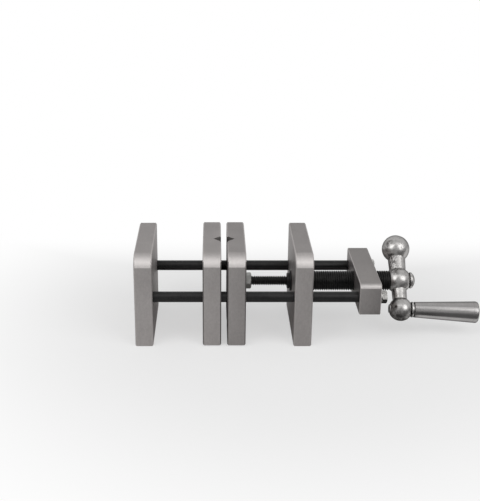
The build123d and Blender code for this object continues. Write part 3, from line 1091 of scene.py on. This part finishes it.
# Painted reflections: the floor as only metal sees it, grey before the vise, dark below the crank, pale
# under the vise
left_and_middle = beside.spread(-0.03, 0.03, 0.70, 0.61, smooth=True)
below_crank = beside.spread(0.16, 0.178, 0.7, 0.14, smooth=True)
right_of_crank = beside.spread(0.185, 0.20, 0.0, 0.25, smooth=True)
under_vise = behind.spread(-0.035, -0.015, 0.0, 0.7, smooth=True)
mirrored_tone = left_and_middle.least(below_crank).most(right_of_crank).most(under_vise)

# More painted reflection: before the plates it is darker far off and paler near them, and below the nuts
# nearly black
near_plates = behind.spread(-0.19, -0.09, 0.10, -0.11) * beside.spread(0.12, 0.10)
below_nuts = beside.spread(0.128, 0.134) * beside.spread(0.17, 0.164)
below_nuts = below_nuts * behind.spread(-0.07, -0.064) * behind.spread(-0.034, -0.038)
mirrored_tone = mirrored_tone * (1 - near_plates) * (1 - below_nuts * 0.94)

# The camera sees an even pale floor, which glows white to the back and far from the vise.
# Metal sees half of that glow to the back, and a painted reflection: a glowing white patch of floor to the
# right of the crank, which only metal sees.
camera_tone = 0.88
tone = mirrored_tone.most(from_camera * camera_tone)
paint = {"Base Color": tone, "Roughness": 1.0, "Specular IOR Level": 0.0}
pale = tree.add("ShaderNodeBsdfPrincipled", paint)
white = tree.add("ShaderNodeEmission", {"Color": (1, 1, 1, 1), "Strength": 1.0})
to_back = behind.spread(0.02, 0.24, smooth=True) * (from_camera + mirrored * 0.5)
painted_reflection_patch = behind.spread(-0.047, -0.037, smooth=True) * beside.spread(0.172, 0.18, smooth=True)
vise_middle = (0.075, 0.0, 0.0)
far_off = tree.of_place("DISTANCE", vise_middle).spread(0.14, 0.42, 0.5, 1.0, smooth=True)
share = to_back.most(painted_reflection_patch * mirrored).most(from_camera * far_off)
blend = tree.add("ShaderNodeMixShader", {0: share, 1: pale, 2: white})
tree.add("ShaderNodeOutputMaterial", {"Surface": blend})
floor = new_piece("floor", floor_mesh, floor_paint)

# The camera sees a white room, metal a dimmer one that is palest high behind the vise
world = bpy.data.worlds.new("studio")
scene.world = world
world.use_nodes = True
world.node_tree.nodes.clear()
tree = Wire(world.node_tree)
back = tree.coordinate("Y", "Generated")
up = tree.coordinate("Z", "Generated")
horizon = back.spread(-0.2, 0.5, 0.36, 0.45, smooth=True)
ceiling = back.spread(-0.5, 0.4, 0.60, 0.88, smooth=True)
lifted = up.spread(0.02, 0.35, smooth=True)
room = horizon * (1 - lifted) + ceiling * lifted
from_camera, mirrored = ray_kinds(tree)
fill_light = 0.36
level = from_camera + mirrored * room + (1 - from_camera - mirrored) * fill_light
sky = tree.add("ShaderNodeBackground", {"Color": (1, 1, 1, 1), "Strength": level})
tree.add("ShaderNodeOutputWorld", {"Surface": sky})

lamp_target = Vector((0.05, 0, 0.04))


def softbox(name, azimuth, elevation, distance, wide, high, radiance):
    """Area lamp that faces the vise. Azimuth 0 is straight in front, 90 is to the right."""
    lamp = bpy.data.lights.new(name, "AREA")
    lamp.shape = "RECTANGLE"
    lamp.size = wide
    lamp.size_y = high
    lamp.energy = radiance * math.pi * wide * high
    lamp_object = bpy.data.objects.new(name, lamp)
    turn = math.radians(azimuth)
    rise = math.radians(elevation)
    toward = Vector((math.sin(turn) * math.cos(rise), -math.cos(turn) * math.cos(rise), math.sin(rise)))
    lamp_object.location = lamp_target + toward * distance
    lamp_object.rotation_euler = toward.to_track_quat("Z", "Y").to_euler()
    scene.collection.objects.link(lamp_object)


softbox("lamp_left", azimuth=-55, elevation=38, distance=1.5, wide=1.05, high=0.9, radiance=2.0)
softbox("lamp_right", azimuth=48, elevation=34, distance=1.5, wide=1.1, high=0.9, radiance=2.0)
softbox("lamp_top", azimuth=0, elevation=64, distance=1.4, wide=1.3, high=0.55, radiance=0.75)
